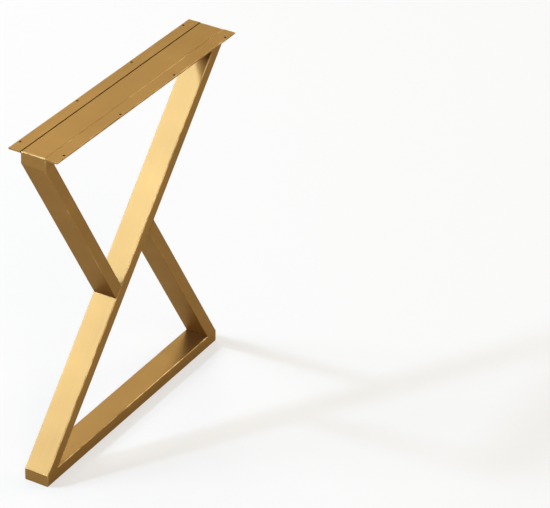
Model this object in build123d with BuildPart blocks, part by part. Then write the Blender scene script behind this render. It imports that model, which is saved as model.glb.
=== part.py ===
from build123d import *
import math
import os

# Z-shaped table leg: a welded frame of rectangular steel tube in the XZ plane, with two
# strips along the top bar that take the screws into the table top. Millimetres, degrees.
# X runs along the leg, Y across it, Z up; the origin is the middle of the footprint on the floor.

# Overall size
LEG_HEIGHT = 680.0
LEG_LENGTH = 590.0

# Rectangular tube that all bars and struts are cut from
TUBE_WIDTH = 50.0
TUBE_DEPTH = 25.0
TUBE_WALL = 1.5
TUBE_CORNER_RADIUS = 2.0
TUBE_SMALLEST_INSIDE_RADIUS = 0.3

# Plates that close the ends of the two bars
END_PLATE_THICKNESS = 3.0
END_PLATE_EDGE_RADIUS = 1.5

# Struts: how far their outer faces stand in from the bar ends, and how far the braces lean from upright
STRUT_END_INSET = 1.0
UPPER_BRACE_LEAN = 31.4
LOWER_BRACE_LEAN = 32.8

# Flat strips on both sides of the top bar, flush with its top
STRIP_WIDTH = 25.0
STRIP_THICKNESS = 3.0
STRIP_EDGE_RADIUS = 0.5
SCREW_HOLE_DIAMETER = 4.5
SCREW_HOLES_PER_STRIP = 4
SCREW_HOLE_END_DISTANCE = 28.0
SCREW_HOLE_EDGE_DISTANCE = 5.0

# Largest share of a wall or corner that a rounded edge may use up
ROUNDING_LIMIT = 0.8

ACROSS = (0, 1, 0)

tube_inside_radius = max(TUBE_CORNER_RADIUS - TUBE_WALL, TUBE_SMALLEST_INSIDE_RADIUS)
bar_tube_length = LEG_LENGTH - 2 * END_PLATE_THICKNESS
clear_height = LEG_HEIGHT - 2 * TUBE_DEPTH
strut_reach = LEG_LENGTH - 2 * STRUT_END_INSET
leg_centre = Vector(0, 0, LEG_HEIGHT / 2)

# The diagonal's front face starts at one end of the bottom bar and its rear face stops at the
# opposite end of the top bar, so its lean from upright follows from the reach and the tube's depth
diagonal_length = math.hypot(strut_reach, clear_height)
diagonal_lean = math.acos(TUBE_DEPTH / diagonal_length) - math.atan2(clear_height, strut_reach)
diagonal_direction = Vector(math.sin(diagonal_lean), 0, math.cos(diagonal_lean))
diagonal_front_normal = Vector(-math.cos(diagonal_lean), 0, math.sin(diagonal_lean))


def tube_section():
    """Draws the hollow tube section, its width along the sketch's X axis."""
    RectangleRounded(TUBE_WIDTH, TUBE_DEPTH, TUBE_CORNER_RADIUS)
    inside_width = TUBE_WIDTH - 2 * TUBE_WALL
    inside_depth = TUBE_DEPTH - 2 * TUBE_WALL
    RectangleRounded(inside_width, inside_depth, tube_inside_radius, mode=Mode.SUBTRACT)


def section_plane(centre, direction):
    """Plane square to a tube that runs through centre, with the tube's width across the leg."""
    return Plane(origin=centre, x_dir=ACROSS, z_dir=direction)


def save(piece, name):
    """Labels a finished piece and writes it to its own file."""
    piece.part.label = name
    export_step(piece.part, f"parts/{name}.step")


os.makedirs("parts", exist_ok=True)

# Top and bottom bars, each closed at both ends by a plate of the tube's own outline
end_plate_rounding_room = min(END_PLATE_THICKNESS, TUBE_CORNER_RADIUS)
end_plate_rounding = min(END_PLATE_EDGE_RADIUS, ROUNDING_LIMIT * end_plate_rounding_room)
bar_heights = {
    "top_bar": LEG_HEIGHT - TUBE_DEPTH / 2,
    "bottom_bar": TUBE_DEPTH / 2,
}
for bar_name, bar_height in bar_heights.items():
    with BuildPart() as bar:
        with BuildSketch(section_plane((-bar_tube_length / 2, 0, bar_height), (1, 0, 0))):
            tube_section()
        extrude(amount=bar_tube_length)
    save(bar, bar_name)

    for end_name, end_direction in (("left", -1), ("right", 1)):
        outward = Axis((0, 0, 0), (end_direction, 0, 0))
        bar_end = (end_direction * bar_tube_length / 2, 0, bar_height)
        with BuildPart() as end_plate:
            with BuildSketch(section_plane(bar_end, outward.direction)):
                RectangleRounded(TUBE_WIDTH, TUBE_DEPTH, TUBE_CORNER_RADIUS)
            extrude(amount=END_PLATE_THICKNESS)
            outer_face = end_plate.faces().sort_by(outward)[-1]
            fillet(outer_face.edges(), end_plate_rounding)
        save(end_plate, f"{bar_name}_{end_name}_end_plate")

# Diagonal, cut level where it stands on the bottom bar and where it carries the top bar
with BuildPart() as diagonal:
    with BuildSketch(section_plane(leg_centre, diagonal_direction)):
        tube_section()
    extrude(amount=diagonal_length, both=True)
    split(bisect_by=Plane.XY.offset(TUBE_DEPTH), keep=Keep.TOP)
    split(bisect_by=Plane.XY.offset(LEG_HEIGHT - TUBE_DEPTH), keep=Keep.BOTTOM)
save(diagonal, "diagonal_tube")

# Braces: the upper one hangs from the top bar's left end and butts on the diagonal's front face,
# the lower one stands on the bottom bar's right end and butts on its rear face
for brace_name, brace_lean, side in (
    ("upper_brace", UPPER_BRACE_LEAN, 1),
    ("lower_brace", LOWER_BRACE_LEAN, -1),
):
    lean = math.radians(brace_lean)
    away_from_bar = Vector(math.sin(lean), 0, -math.cos(lean)) * side
    inward = Vector(math.cos(lean), 0, math.sin(lean)) * side
    outer_corner = leg_centre + Vector(-strut_reach / 2, 0, clear_height / 2) * side
    bar_face = Plane(origin=outer_corner, z_dir=(0, 0, -side))
    diagonal_normal = diagonal_front_normal * side
    diagonal_face = Plane(origin=leg_centre + diagonal_normal * (TUBE_DEPTH / 2), z_dir=diagonal_normal)
    with BuildPart() as brace:
        with BuildSketch(section_plane(outer_corner + inward * (TUBE_DEPTH / 2), away_from_bar)):
            tube_section()
        extrude(amount=diagonal_length, both=True)
        split(bisect_by=bar_face, keep=Keep.TOP)
        split(bisect_by=diagonal_face, keep=Keep.TOP)
    save(brace, brace_name)

# Mounting strips, each with a row of screw holes near its outer edge
screw_hole_pitch = (LEG_LENGTH - 2 * SCREW_HOLE_END_DISTANCE) / (SCREW_HOLES_PER_STRIP - 1)
strip_rounding = min(STRIP_EDGE_RADIUS, ROUNDING_LIMIT * STRIP_THICKNESS / 2)
strip_middle = (TUBE_WIDTH + STRIP_WIDTH) / 2
screw_hole_row = TUBE_WIDTH / 2 + STRIP_WIDTH - SCREW_HOLE_EDGE_DISTANCE
for strip_side, strip_direction in (("front", -1), ("rear", 1)):
    with BuildPart() as strip:
        with BuildSketch(Plane.XY.offset(LEG_HEIGHT - STRIP_THICKNESS)):
            with Locations((0, strip_direction * strip_middle)):
                Rectangle(LEG_LENGTH, STRIP_WIDTH)
            with Locations((0, strip_direction * screw_hole_row)):
                with GridLocations(screw_hole_pitch, STRIP_WIDTH, SCREW_HOLES_PER_STRIP, 1):
                    Circle(SCREW_HOLE_DIAMETER / 2, mode=Mode.SUBTRACT)
        extrude(amount=STRIP_THICKNESS)
        outward = Axis((0, 0, 0), (0, strip_direction, 0))
        outer_side = strip.faces().sort_by(outward)[-1]
        fillet(outer_side.edges().filter_by(Axis.X), strip_rounding)
    save(strip, f"{strip_side}_mounting_strip")
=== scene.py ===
import math

import bpy
from mathutils import Euler, Matrix, Vector


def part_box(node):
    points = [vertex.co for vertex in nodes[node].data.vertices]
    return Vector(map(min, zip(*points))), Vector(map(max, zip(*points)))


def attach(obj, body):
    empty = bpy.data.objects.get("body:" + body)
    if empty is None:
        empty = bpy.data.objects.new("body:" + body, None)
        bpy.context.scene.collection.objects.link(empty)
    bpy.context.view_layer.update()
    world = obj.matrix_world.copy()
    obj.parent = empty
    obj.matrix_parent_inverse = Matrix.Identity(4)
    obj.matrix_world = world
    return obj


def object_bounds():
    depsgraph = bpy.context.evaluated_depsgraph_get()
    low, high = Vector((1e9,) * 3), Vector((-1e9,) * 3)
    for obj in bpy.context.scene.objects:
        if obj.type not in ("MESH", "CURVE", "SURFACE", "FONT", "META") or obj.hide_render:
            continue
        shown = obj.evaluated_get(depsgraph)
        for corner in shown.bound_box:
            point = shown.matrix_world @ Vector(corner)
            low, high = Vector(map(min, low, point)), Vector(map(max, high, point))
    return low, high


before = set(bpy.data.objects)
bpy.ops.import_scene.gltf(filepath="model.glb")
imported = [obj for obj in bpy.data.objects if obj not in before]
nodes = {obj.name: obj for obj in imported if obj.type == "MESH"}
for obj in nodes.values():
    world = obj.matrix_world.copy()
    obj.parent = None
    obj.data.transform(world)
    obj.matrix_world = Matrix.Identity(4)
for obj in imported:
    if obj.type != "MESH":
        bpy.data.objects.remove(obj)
cad_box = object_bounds()

# Bottom and top bar: two lengths of rectangular steel tube that lie level, one on the floor and
# one under the table top. Like the whole leg they are brushed along the tube and plated in satin
# gold. Their rounded long corners are paler, a painted highlight with some edge wear, the top
# bar's less, beside the strips.
DEEP_GOLD = (0.288, 0.155, 0.0445, 1.0)
GOLD = (0.338, 0.184, 0.0525, 1.0)
# Paler gold at the corners: a painted highlight, partly edge wear
WEAR_AND_HIGHLIGHT_GOLD = (0.800, 0.520, 0.220, 1.0)
GRAZING_TINT = (0.60, 0.55, 0.50, 1.0)
GRAIN_STRETCH = (9.0, 900.0, 900.0)
GRAIN_SCALE = 1.0
GRAIN_DETAIL = 3.0
CLOUD_SCALE = 11.0
CLOUD_DETAIL = 2.0
WEAR_AND_HIGHLIGHT_PATCH_SCALE = 60.0
WEAR_AND_HIGHLIGHT_REACH = 0.0028
GRAIN_SHARE = 0.45
DEEP_TONE = 0.30
EVEN_TONE = 0.62
GOLD_TONE = 0.68
WEAR_AND_HIGHLIGHT_TONE = 1.0
SATIN_ROUGHNESS = 0.475
RUBBED_ROUGHNESS = 0.43
GRAIN_BUMP_STRENGTH = 0.06
GRAIN_BUMP_DISTANCE = 0.0002
ENDLESS = 10.0
BAR_WEAR_AND_HIGHLIGHT = {"bottom_bar": 0.8, "top_bar": 0.6}


def add_node(tree, kind, **settings):
    """Adds a node of the given kind and settings to a node tree."""
    node = tree.nodes.new(kind)
    for name, value in settings.items():
        setattr(node, name, value)
    return node


def satin_gold_group():
    """Colour, roughness and height of brushed gold plating on a piece whose grain runs along X, paler
    at the corners as a painted highlight with edge wear.
    """
    group = bpy.data.node_groups.new("satin_gold", "ShaderNodeTree")
    sockets = group.interface
    sockets.new_socket("Position", in_out="INPUT", socket_type="NodeSocketVector")
    sockets.new_socket("Half Size", in_out="INPUT", socket_type="NodeSocketVector")
    sockets.new_socket("Wear And Highlight", in_out="INPUT", socket_type="NodeSocketFloat")
    sockets.new_socket("Color", in_out="OUTPUT", socket_type="NodeSocketColor")
    sockets.new_socket("Roughness", in_out="OUTPUT", socket_type="NodeSocketFloat")
    sockets.new_socket("Height", in_out="OUTPUT", socket_type="NodeSocketFloat")
    link = group.links.new
    given = add_node(group, "NodeGroupInput")
    result = add_node(group, "NodeGroupOutput")

    # Fine brush lines along the piece
    stretched = add_node(group, "ShaderNodeVectorMath", operation="MULTIPLY")
    stretched.inputs[1].default_value = GRAIN_STRETCH
    grain = add_node(group, "ShaderNodeTexNoise")
    grain.inputs["Scale"].default_value = GRAIN_SCALE
    grain.inputs["Detail"].default_value = GRAIN_DETAIL
    link(given.outputs["Position"], stretched.inputs[0])
    link(stretched.outputs["Vector"], grain.inputs["Vector"])

    # Broad clouds where the plating is a shade deeper
    clouds = add_node(group, "ShaderNodeTexNoise")
    clouds.inputs["Scale"].default_value = CLOUD_SCALE
    clouds.inputs["Detail"].default_value = CLOUD_DETAIL
    link(given.outputs["Position"], clouds.inputs["Vector"])

    # Painted highlight with edge wear: where two sides of the piece's box are near, in small patches
    outward = add_node(group, "ShaderNodeVectorMath", operation="ABSOLUTE")
    depth = add_node(group, "ShaderNodeVectorMath", operation="SUBTRACT")
    axes = add_node(group, "ShaderNodeSeparateXYZ")
    link(given.outputs["Position"], outward.inputs[0])
    link(outward.outputs["Vector"], depth.inputs[0])
    link(given.outputs["Half Size"], depth.inputs[1])
    link(depth.outputs["Vector"], axes.inputs["Vector"])
    near_side = {}
    for axis in "XYZ":
        near_side[axis] = add_node(group, "ShaderNodeMapRange", interpolation_type="SMOOTHSTEP")
        near_side[axis].inputs["From Min"].default_value = -WEAR_AND_HIGHLIGHT_REACH
        near_side[axis].inputs["From Max"].default_value = 0.0
        link(axes.outputs[axis], near_side[axis].inputs["Value"])
    near_edge = []
    for first, second in ("XY", "YZ", "ZX"):
        both = add_node(group, "ShaderNodeMath", operation="MULTIPLY")
        link(near_side[first].outputs["Result"], both.inputs[0])
        link(near_side[second].outputs["Result"], both.inputs[1])
        near_edge.append(both)
    along_edges = add_node(group, "ShaderNodeMath", operation="MAXIMUM")
    all_edges = add_node(group, "ShaderNodeMath", operation="MAXIMUM")
    link(near_edge[0].outputs["Value"], along_edges.inputs[0])
    link(near_edge[1].outputs["Value"], along_edges.inputs[1])
    link(along_edges.outputs["Value"], all_edges.inputs[0])
    link(near_edge[2].outputs["Value"], all_edges.inputs[1])
    patches = add_node(group, "ShaderNodeTexNoise")
    patches.inputs["Scale"].default_value = WEAR_AND_HIGHLIGHT_PATCH_SCALE
    patchy_edges = add_node(group, "ShaderNodeMath", operation="MULTIPLY")
    worn_and_highlit = add_node(group, "ShaderNodeMath", operation="MULTIPLY")
    link(given.outputs["Position"], patches.inputs["Vector"])
    link(all_edges.outputs["Value"], patchy_edges.inputs[0])
    link(patches.outputs["Fac"], patchy_edges.inputs[1])
    link(patchy_edges.outputs["Value"], worn_and_highlit.inputs[0])
    link(given.outputs["Wear And Highlight"], worn_and_highlit.inputs[1])

    # Tone: clouds and grain together, raised by the painted highlight at the edges, which are also
    # smoother
    mottle = add_node(group, "ShaderNodeMix", data_type="FLOAT")
    mottle.inputs["Factor"].default_value = GRAIN_SHARE
    tone = add_node(group, "ShaderNodeMath", operation="ADD")
    shade = add_node(group, "ShaderNodeValToRGB")
    stops = shade.color_ramp.elements
    stops[0].position = DEEP_TONE
    stops[0].color = DEEP_GOLD
    stops[1].position = WEAR_AND_HIGHLIGHT_TONE
    stops[1].color = WEAR_AND_HIGHLIGHT_GOLD
    stops.new(GOLD_TONE).color = GOLD
    gloss = add_node(group, "ShaderNodeMapRange")
    gloss.inputs["From Min"].default_value = EVEN_TONE
    gloss.inputs["From Max"].default_value = WEAR_AND_HIGHLIGHT_TONE
    gloss.inputs["To Min"].default_value = SATIN_ROUGHNESS
    gloss.inputs["To Max"].default_value = RUBBED_ROUGHNESS
    link(clouds.outputs["Fac"], mottle.inputs["A"])
    link(grain.outputs["Fac"], mottle.inputs["B"])
    link(mottle.outputs["Result"], tone.inputs[0])
    link(worn_and_highlit.outputs["Value"], tone.inputs[1])
    link(tone.outputs["Value"], shade.inputs["Fac"])
    link(tone.outputs["Value"], gloss.inputs["Value"])
    link(shade.outputs["Color"], result.inputs["Color"])
    link(gloss.outputs["Result"], result.inputs["Roughness"])
    link(grain.outputs["Fac"], result.inputs["Height"])
    return group


satin_gold = satin_gold_group()


def plate_with_gold(name, node_names, middle, half_size, wear_and_highlight, turn=(0.0, 0.0, 0.0)):
    """Plates CAD pieces with gold brushed along a length that is turned from X by turn."""
    material = bpy.data.materials.new(name)
    material.use_nodes = True
    tree = material.node_tree
    link = tree.links.new
    shader = tree.nodes["Principled BSDF"]
    shader.inputs["Metallic"].default_value = 1.0
    shader.inputs["Specular Tint"].default_value = GRAZING_TINT
    place = add_node(tree, "ShaderNodeTexCoord")
    along = add_node(tree, "ShaderNodeMapping", name="along", vector_type="TEXTURE")
    along.inputs["Location"].default_value = middle
    along.inputs["Rotation"].default_value = turn
    plating = add_node(tree, "ShaderNodeGroup", name="plating", node_tree=satin_gold)
    plating.inputs["Half Size"].default_value = half_size
    plating.inputs["Wear And Highlight"].default_value = wear_and_highlight
    bump = add_node(tree, "ShaderNodeBump")
    bump.inputs["Strength"].default_value = GRAIN_BUMP_STRENGTH
    bump.inputs["Distance"].default_value = GRAIN_BUMP_DISTANCE
    link(place.outputs["Object"], along.inputs["Vector"])
    link(along.outputs["Vector"], plating.inputs["Position"])
    link(plating.outputs["Color"], shader.inputs["Base Color"])
    link(plating.outputs["Roughness"], shader.inputs["Roughness"])
    link(plating.outputs["Height"], bump.inputs["Height"])
    link(bump.outputs["Normal"], shader.inputs["Normal"])
    for node_name in node_names:
        for slot in nodes[node_name].material_slots:
            slot.material = material
    return material


for bar_name in ("bottom_bar", "top_bar"):
    bar_low, bar_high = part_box(bar_name)
    bar_half = (bar_high - bar_low) / 2
    plate_with_gold(
        f"{bar_name}_gold",
        [bar_name],
        (bar_low + bar_high) / 2,
        (ENDLESS, bar_half.y, bar_half.z),
        BAR_WEAR_AND_HIGHLIGHT[bar_name],
    )
tube_half_width = bar_half.y
tube_half_depth = bar_half.z

# Diagonal: the same tube, cut level at both ends and welded between the bars from corner to
# corner. The welds are ground flush before plating, so its faces run clean into the bars. Its
# near corners carry the most painted highlight, with some edge wear, and the ones at the rear hardly
# any.
DIAGONAL_WEAR_AND_HIGHLIGHT = 1.0
REAR_CORNER_HIGHLIGHT_SHIFT = 0.0013

diagonal_low, diagonal_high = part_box("diagonal_tube")
diagonal_size = diagonal_high - diagonal_low
diagonal_span = math.hypot(diagonal_size.x, diagonal_size.z)
box_rise = math.atan2(diagonal_size.z, diagonal_size.x)
diagonal_rise = math.asin(2 * tube_half_depth / diagonal_span) + box_rise
plate_with_gold(
    "diagonal_gold",
    ["diagonal_tube"],
    (diagonal_low + diagonal_high) / 2 + Vector((0.0, REAR_CORNER_HIGHLIGHT_SHIFT, 0.0)),
    (ENDLESS, tube_half_width + REAR_CORNER_HIGHLIGHT_SHIFT, tube_half_depth),
    DIAGONAL_WEAR_AND_HIGHLIGHT,
    turn=(0.0, -diagonal_rise, 0.0),
)

# Braces: two shorter lengths of the tube, cut level where they meet a bar and mitred to the
# diagonal's face at the other end. They are welded and ground like the diagonal.
UPPER_BRACE_LEAN = math.radians(31.4)
LOWER_BRACE_LEAN = math.radians(32.8)
# The braces' corners get a weaker painted highlight with edge wear
BRACE_WEAR_AND_HIGHLIGHT = 0.40

for brace_name, brace_lean, side in (
    ("upper_brace", UPPER_BRACE_LEAN, 1),
    ("lower_brace", LOWER_BRACE_LEAN, -1),
):
    brace_low, brace_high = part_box(brace_name)
    if side > 0:
        outer_corner = Vector((brace_low.x, 0.0, brace_high.z))
    else:
        outer_corner = Vector((brace_high.x, 0.0, brace_low.z))
    inward = Vector((math.cos(brace_lean), 0.0, math.sin(brace_lean))) * side
    plate_with_gold(
        f"{brace_name}_gold",
        [brace_name],
        outer_corner + inward * tube_half_depth,
        (ENDLESS, tube_half_width, tube_half_depth),
        BRACE_WEAR_AND_HIGHLIGHT,
        turn=(0.0, math.pi / 2 - brace_lean, 0.0),
    )

# Welds: where the diagonal and the braces stand on the bars, weld metal fills the bars' rounded
# shoulders under the cut end of the tube. It is ground flush with the sides and plated over.
TUBE_CORNER_RADIUS = 0.002
WELD_REACH = 0.00005
WELD_RECESS = 0.00002
WELD_ROUNDING_STEPS = 6
WELD_WEAR_AND_HIGHLIGHT = 0.0

weld_gold = plate_with_gold(
    "weld_gold",
    [],
    (0.0, 0.0, 0.0),
    (ENDLESS, ENDLESS, ENDLESS),
    WELD_WEAR_AND_HIGHLIGHT,
)
bottom_bar_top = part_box("bottom_bar")[1].z
top_bar_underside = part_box("top_bar")[0].z
upper_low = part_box("upper_brace")[0]
lower_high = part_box("lower_brace")[1]
diagonal_cut = 2 * tube_half_depth / math.sin(diagonal_rise)
upper_cut = 2 * tube_half_depth / math.cos(UPPER_BRACE_LEAN)
lower_cut = 2 * tube_half_depth / math.cos(LOWER_BRACE_LEAN)
weld_height = TUBE_CORNER_RADIUS + 2 * WELD_REACH

for weld_name, left_end, cut_length, bar_face, into_bar in (
    ("diagonal_foot_weld", diagonal_low.x, diagonal_cut, bottom_bar_top, -1),
    ("lower_brace_weld", lower_high.x - lower_cut, lower_cut, bottom_bar_top, -1),
    ("diagonal_head_weld", diagonal_high.x - diagonal_cut, diagonal_cut, top_bar_underside, 1),
    ("upper_brace_weld", upper_low.x, upper_cut, top_bar_underside, 1),
):
    bpy.ops.object.select_all(action="DESELECT")
    bpy.ops.mesh.primitive_plane_add(
        size=1.0,
        location=(left_end + cut_length / 2, 0.0, bar_face - into_bar * WELD_REACH),
    )
    weld = bpy.context.object
    weld.name = weld_name
    weld.scale = (cut_length - 2 * WELD_RECESS, 2 * (tube_half_width - WELD_RECESS), 1.0)
    bpy.ops.object.transform_apply(location=True, scale=True)
    bpy.ops.object.mode_set(mode="EDIT")
    bpy.ops.mesh.select_all(action="SELECT")
    bpy.ops.mesh.bevel(offset=TUBE_CORNER_RADIUS, segments=WELD_ROUNDING_STEPS, affect="VERTICES")
    bpy.ops.mesh.select_all(action="SELECT")
    bpy.ops.mesh.extrude_region_move(
        TRANSFORM_OT_translate={"value": (0.0, 0.0, into_bar * weld_height)},
    )
    bpy.ops.mesh.select_all(action="SELECT")
    bpy.ops.mesh.normals_make_consistent(inside=False)
    bpy.ops.object.mode_set(mode="OBJECT")
    weld.data.materials.append(weld_gold)
    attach(weld, "root")

# End plates: small plates that close the four open ends of the bars. Each is welded on round its
# edge and linished flush, so its grain runs across the leg. Its top edge gets a bright painted
# highlight with some edge wear, its upright corners less, and its lower edge none.
END_PLATE_WEAR_AND_HIGHLIGHT = {"bottom_bar": 0.55, "top_bar": 0.74}
UPRIGHT_CORNER_HIGHLIGHT_SHIFT = 0.0004

for bar_name in ("bottom_bar", "top_bar"):
    for end_name in ("left", "right"):
        plate_name = f"{bar_name}_{end_name}_end_plate"
        plate_low, plate_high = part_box(plate_name)
        plate_middle = (plate_low + plate_high) / 2
        plate_half = (plate_high - plate_low) / 2
        plate_with_gold(
            f"{plate_name}_gold",
            [plate_name],
            (plate_middle.x, plate_middle.y, plate_high.z - ENDLESS),
            (plate_half.y + UPRIGHT_CORNER_HIGHLIGHT_SHIFT, plate_half.x, ENDLESS),
            END_PLATE_WEAR_AND_HIGHLIGHT[bar_name],
            turn=(0.0, 0.0, math.pi / 2),
        )

# Mounting strips: two flat steel bars along both sides of the top bar, flush with its top, each
# drilled with a row of screw holes. They are welded to the bar's sides from below. A dark painted
# shade runs along the seam against the bar, wide on the rear strip and thin on the front one, and the
# screw holes are coloured darker.
# Dark brown painted as shade along the seam against the bar, also used in the screw holes
SEAM_SHADE_AND_DARK_HOLES = (0.060, 0.022, 0.003, 1.0)
SCREW_HOLE_COUNT = 4
SCREW_HOLE_END_DISTANCE = 0.028
SCREW_HOLE_EDGE_DISTANCE = 0.005
SCREW_HOLE_RADIUS = 0.00225
DARK_HOLE_RIM = 0.0004
FRONT_SEAM_SHADE_WIDTH = 0.0002
REAR_SEAM_SHADE_WIDTH = 0.0016
STRIP_WEAR_AND_HIGHLIGHT = 0.45

for strip_name, seam_shade_width in (
    ("front_mounting_strip", FRONT_SEAM_SHADE_WIDTH),
    ("rear_mounting_strip", REAR_SEAM_SHADE_WIDTH),
):
    strip_low, strip_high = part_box(strip_name)
    strip_half = (strip_high - strip_low) / 2
    strip_outer_side = tube_half_width + 2 * strip_half.y
    strip_gold = plate_with_gold(
        f"{strip_name}_gold",
        [strip_name],
        (0.0, 0.0, (strip_low.z + strip_high.z) / 2),
        (strip_half.x, strip_outer_side, strip_half.z),
        STRIP_WEAR_AND_HIGHLIGHT,
    )
    strip_tree = strip_gold.node_tree
    strip_link = strip_tree.links.new
    place_on_strip = add_node(strip_tree, "ShaderNodeSeparateXYZ")
    from_middle = add_node(strip_tree, "ShaderNodeMath", operation="ABSOLUTE")
    strip_link(strip_tree.nodes["along"].outputs["Vector"], place_on_strip.inputs["Vector"])
    strip_link(place_on_strip.outputs["Y"], from_middle.inputs[0])

    # Painted shade along the seam against the bar
    seam_shade = add_node(strip_tree, "ShaderNodeMapRange")
    seam_shade.inputs["From Min"].default_value = tube_half_width + seam_shade_width / 2
    seam_shade.inputs["From Max"].default_value = tube_half_width + seam_shade_width
    seam_shade.inputs["To Min"].default_value = 1.0
    seam_shade.inputs["To Max"].default_value = 0.0
    strip_link(from_middle.outputs["Value"], seam_shade.inputs["Value"])

    # The walls of the screw holes, evenly spaced along the strip
    half_spacing = (strip_half.x - SCREW_HOLE_END_DISTANCE) / (SCREW_HOLE_COUNT - 1)
    to_next_hole = add_node(strip_tree, "ShaderNodeMath", operation="PINGPONG")
    to_next_hole.inputs[1].default_value = half_spacing
    along_from_hole = add_node(strip_tree, "ShaderNodeMath", operation="SUBTRACT")
    along_from_hole.inputs[1].default_value = half_spacing
    across_from_hole = add_node(strip_tree, "ShaderNodeMath", operation="SUBTRACT")
    across_from_hole.inputs[1].default_value = strip_outer_side - SCREW_HOLE_EDGE_DISTANCE
    from_hole = add_node(strip_tree, "ShaderNodeCombineXYZ")
    hole_distance = add_node(strip_tree, "ShaderNodeVectorMath", operation="LENGTH")
    in_hole = add_node(strip_tree, "ShaderNodeMapRange")
    in_hole.inputs["From Min"].default_value = SCREW_HOLE_RADIUS
    in_hole.inputs["From Max"].default_value = SCREW_HOLE_RADIUS + DARK_HOLE_RIM
    in_hole.inputs["To Min"].default_value = 1.0
    in_hole.inputs["To Max"].default_value = 0.0
    strip_link(place_on_strip.outputs["X"], to_next_hole.inputs[0])
    strip_link(to_next_hole.outputs["Value"], along_from_hole.inputs[0])
    strip_link(from_middle.outputs["Value"], across_from_hole.inputs[0])
    strip_link(along_from_hole.outputs["Value"], from_hole.inputs["X"])
    strip_link(across_from_hole.outputs["Value"], from_hole.inputs["Y"])
    strip_link(from_hole.outputs["Vector"], hole_distance.inputs[0])
    strip_link(hole_distance.outputs["Value"], in_hole.inputs["Value"])

    # Dark colour where either of the two is met, as painted seam shade or darker holes, and gold
    # elsewhere
    seam_shade_or_hole = add_node(strip_tree, "ShaderNodeMath", operation="MAXIMUM")
    strip_colour = add_node(strip_tree, "ShaderNodeMixRGB")
    strip_colour.inputs["Color2"].default_value = SEAM_SHADE_AND_DARK_HOLES
    strip_link(seam_shade.outputs["Result"], seam_shade_or_hole.inputs[0])
    strip_link(in_hole.outputs["Result"], seam_shade_or_hole.inputs[1])
    strip_link(seam_shade_or_hole.outputs["Value"], strip_colour.inputs["Fac"])
    strip_link(strip_tree.nodes["plating"].outputs["Color"], strip_colour.inputs["Color1"])
    strip_link(strip_colour.outputs["Color"], strip_tree.nodes["Principled BSDF"].inputs["Base Color"])

# Studio: a pale floor, a soft surround that fades towards the zenith, and five soft lamps. The two
# on the left are mirrored in the diagonal, the back one in the level faces, the others in corners.
# The floor is partly white by itself, less where the plating mirrors it, and keeps the shadow.
FLOOR_SIZE = 60.0
FLOOR_COLOUR = (0.68, 0.605, 0.485, 1.0)
FLOOR_WHITE_SHARE = 0.6
MIRRORED_WHITE_SHARE = 0.30
SURROUND_COLOUR = (1.0, 0.97, 0.92, 1.0)
HORIZON_LEVEL = 0.54
ZENITH_LEVEL = 0.28
LAMP_DISTANCE = 12.0
SOFT_LAMPS = {
    "left_lamp": {
        "towards": (-0.46, 0.625, 0.63),
        "size": (1.0, 1.0),
        "level": 245.0,
        "colour": (0.63, 1.0, 1.76),
    },
    "left_panel": {
        "towards": (-0.42, 0.76, 0.49),
        "size": (5.0, 5.0),
        "level": 15.0,
        "colour": (0.85, 1.0, 1.30),
    },
    "back_lamp": {
        "towards": (0.53, 0.48, 0.70),
        "size": (6.4, 5.6),
        "level": 3.75,
        "colour": (0.92, 1.0, 1.08),
    },
    "near_lamp": {
        "towards": (-0.49, -0.55, 0.68),
        "size": (5.0, 5.0),
        "level": 5.0,
        "colour": (1.0, 1.0, 1.0),
    },
    "right_lamp": {
        "towards": (0.73, -0.37, 0.575),
        "size": (4.8, 4.8),
        "level": 4.2,
        "colour": (1.0, 1.0, 1.0),
    },
}

leg_middle = (cad_box[0] + cad_box[1]) / 2

bpy.ops.object.select_all(action="DESELECT")
bpy.ops.mesh.primitive_plane_add(size=FLOOR_SIZE, location=(0.0, 0.0, 0.0))
floor = bpy.context.object
floor.name = "studio_floor"
floor_paint = bpy.data.materials.new("floor_paint")
floor_paint.use_nodes = True
floor_tree = floor_paint.node_tree
floor_link = floor_tree.links.new
floor_shader = floor_tree.nodes["Principled BSDF"]
floor_shader.inputs["Base Color"].default_value = FLOOR_COLOUR
floor_shader.inputs["Roughness"].default_value = 1.0
floor_shader.inputs["Specular IOR Level"].default_value = 0.0
floor_white = add_node(floor_tree, "ShaderNodeEmission")
floor_mix = add_node(floor_tree, "ShaderNodeMixShader")
ray = add_node(floor_tree, "ShaderNodeLightPath")
mirrored = add_node(floor_tree, "ShaderNodeMath", operation="ADD", use_clamp=True)
mirrored_share = add_node(floor_tree, "ShaderNodeMath", operation="MULTIPLY")
mirrored_share.inputs[1].default_value = MIRRORED_WHITE_SHARE
white_share = add_node(floor_tree, "ShaderNodeMath", operation="MULTIPLY_ADD")
white_share.inputs[1].default_value = FLOOR_WHITE_SHARE
floor_link(ray.outputs["Is Glossy Ray"], mirrored.inputs[0])
floor_link(ray.outputs["Is Transmission Ray"], mirrored.inputs[1])
floor_link(mirrored.outputs["Value"], mirrored_share.inputs[0])
floor_link(ray.outputs["Is Camera Ray"], white_share.inputs[0])
floor_link(mirrored_share.outputs["Value"], white_share.inputs[2])
floor_link(white_share.outputs["Value"], floor_mix.inputs["Fac"])
floor_link(floor_shader.outputs["BSDF"], floor_mix.inputs[1])
floor_link(floor_white.outputs["Emission"], floor_mix.inputs[2])
floor_link(floor_mix.outputs["Shader"], floor_tree.nodes["Material Output"].inputs["Surface"])
floor.data.materials.append(floor_paint)

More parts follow.
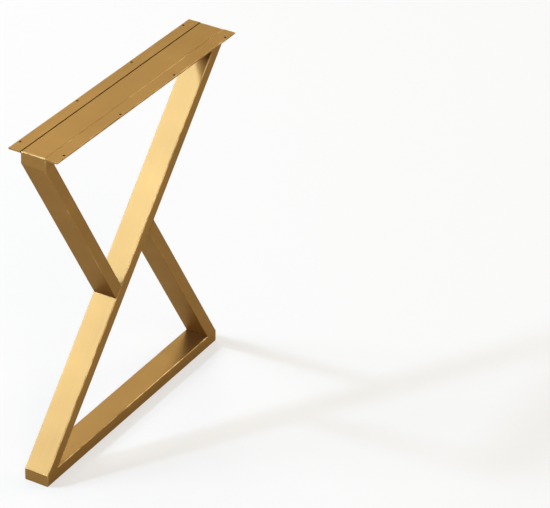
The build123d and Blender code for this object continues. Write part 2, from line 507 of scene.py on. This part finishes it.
surround = bpy.data.worlds.new("studio_surround")
bpy.context.scene.world = surround
surround.use_nodes = True
surround_tree = surround.node_tree
surround_link = surround_tree.links.new
surround_light = surround_tree.nodes["Background"]
surround_light.inputs["Color"].default_value = SURROUND_COLOUR
direction = add_node(surround_tree, "ShaderNodeTexCoord")
height = add_node(surround_tree, "ShaderNodeSeparateXYZ")
fade = add_node(surround_tree, "ShaderNodeMapRange")
fade.inputs["To Min"].default_value = HORIZON_LEVEL
fade.inputs["To Max"].default_value = ZENITH_LEVEL
surround_link(direction.outputs["Generated"], height.inputs["Vector"])
surround_link(height.outputs["Z"], fade.inputs["Value"])
surround_link(fade.outputs["Result"], surround_light.inputs["Strength"])

for lamp_name, setting in SOFT_LAMPS.items():
    lamp_data = bpy.data.lights.new(lamp_name, "AREA")
    lamp_data.shape = "RECTANGLE"
    lamp_data.size, lamp_data.size_y = setting["size"]
    lamp_data.energy = setting["level"] * math.pi * lamp_data.size * lamp_data.size_y
    lamp_data.color = setting["colour"]
    lamp = bpy.data.objects.new(lamp_name, lamp_data)
    bpy.context.scene.collection.objects.link(lamp)
    towards = Vector(setting["towards"]).normalized()
    lamp.location = leg_middle + towards * LAMP_DISTANCE
    along_leg = Vector((1.0, 0.0, 0.0))
    along_leg = (along_leg - towards * along_leg.dot(towards)).normalized()
    lamp_axes = Matrix((along_leg, towards.cross(along_leg), towards)).transposed()
    lamp.rotation_euler = lamp_axes.to_euler()
    lamp.visible_camera = False

# Camera: a long lens that looks down on the leg from its left end, level but for a small roll.
# Colours are shown as they are, with no film look.
CAMERA_PLACE = (-4.0142, -2.5372, 3.1764)
CAMERA_AZIMUTH = math.radians(-61.018)
CAMERA_ELEVATION = math.radians(30.816)
CAMERA_ROLL = math.radians(2.094)
CAMERA_LENS = 197.63
SENSOR_WIDTH = 36.0

camera_data = bpy.data.cameras.new("camera")
camera_data.lens = CAMERA_LENS
camera_data.sensor_width = SENSOR_WIDTH
camera = bpy.data.objects.new("camera", camera_data)
bpy.context.scene.collection.objects.link(camera)
camera.location = CAMERA_PLACE
level_view = Euler((math.pi / 2 - CAMERA_ELEVATION, 0.0, CAMERA_AZIMUTH)).to_matrix()
camera.rotation_euler = (level_view @ Matrix.Rotation(CAMERA_ROLL, 3, "Z")).to_euler()
bpy.context.scene.camera = camera
bpy.context.scene.view_settings.view_transform = "Standard"
